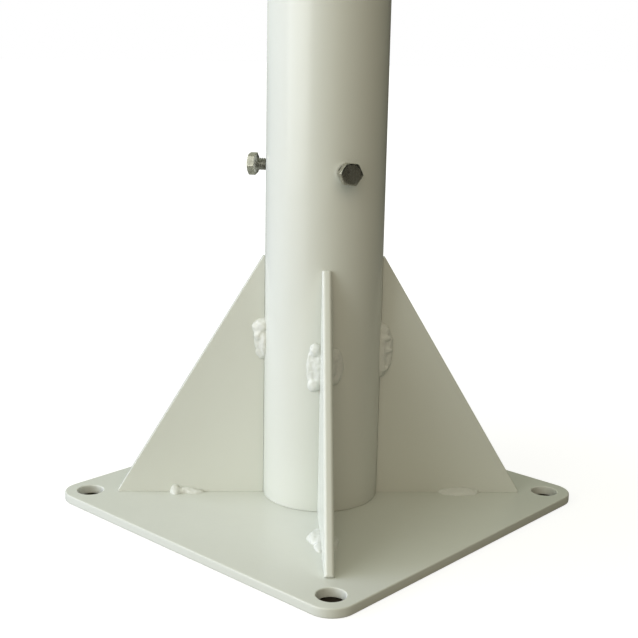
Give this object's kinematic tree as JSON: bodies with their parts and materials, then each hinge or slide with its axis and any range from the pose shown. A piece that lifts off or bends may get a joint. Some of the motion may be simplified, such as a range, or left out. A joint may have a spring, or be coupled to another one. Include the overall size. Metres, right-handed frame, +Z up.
{
  "type": "telescopic camera mast base section",
  "caption": "Painted steel foot of a telescopic mast: square bolt-down plate, diagonal gussets and an open outer tube with clamping set bolts.",
  "frame": {"origin": "centre of the foot plate's underside", "axes": "+Z up along the tube's axis; X and Y along the plate's sides; the corner between +X and -Y is the front"},
  "size_m": [0.25, 0.25, 0.406],
  "materials": {
    "paint": "glossy off-white powder coat",
    "weld_paint": "glossy off-white powder coat over rough weld metal",
    "bolt_zinc": "zinc-plated steel, dull"
  },
  "bodies": {
    "base": {"base_plate": "paint", "mast_tube": "paint", "gusset_front": "paint", "gusset_right": "paint", "gusset_back": "paint", "gusset_left": "paint", "weld_tube_front_left": "weld_paint", "weld_tube_front_right": "weld_paint", "weld_tube_right_left": "weld_paint", "weld_tube_right_right": "weld_paint", "weld_tube_back_left": "weld_paint", "weld_tube_back_right": "weld_paint", "weld_tube_left_left": "weld_paint", "weld_tube_left_right": "weld_paint", "weld_plate_front_left": "weld_paint", "weld_plate_front_right": "weld_paint", "weld_plate_right_left": "weld_paint", "weld_plate_right_right": "weld_paint", "weld_plate_back_left": "weld_paint", "weld_plate_back_right": "weld_paint", "weld_plate_left_left": "weld_paint", "weld_plate_left_right": "weld_paint"},
    "set_bolt_front": {"set_bolt_front": "bolt_zinc"},
    "set_bolt_back": {"set_bolt_back": "bolt_zinc"},
    "set_bolt_left": {"set_bolt_left": "bolt_zinc"}
  },
  "joints": [
    {"name": "set_bolt_front_screw", "type": "slide", "parent": "base", "child": "set_bolt_front", "axis": [-0.866, 0.5, 0], "range_m": [-0.001, 0.005]},
    {"name": "set_bolt_back_screw", "type": "slide", "parent": "base", "child": "set_bolt_back", "axis": [0, -1, 0], "range_m": [-0.001, 0.005]},
    {"name": "set_bolt_left_screw", "type": "slide", "parent": "base", "child": "set_bolt_left", "axis": [0.866, 0.5, 0], "range_m": [-0.001, 0.005]}
  ]
}
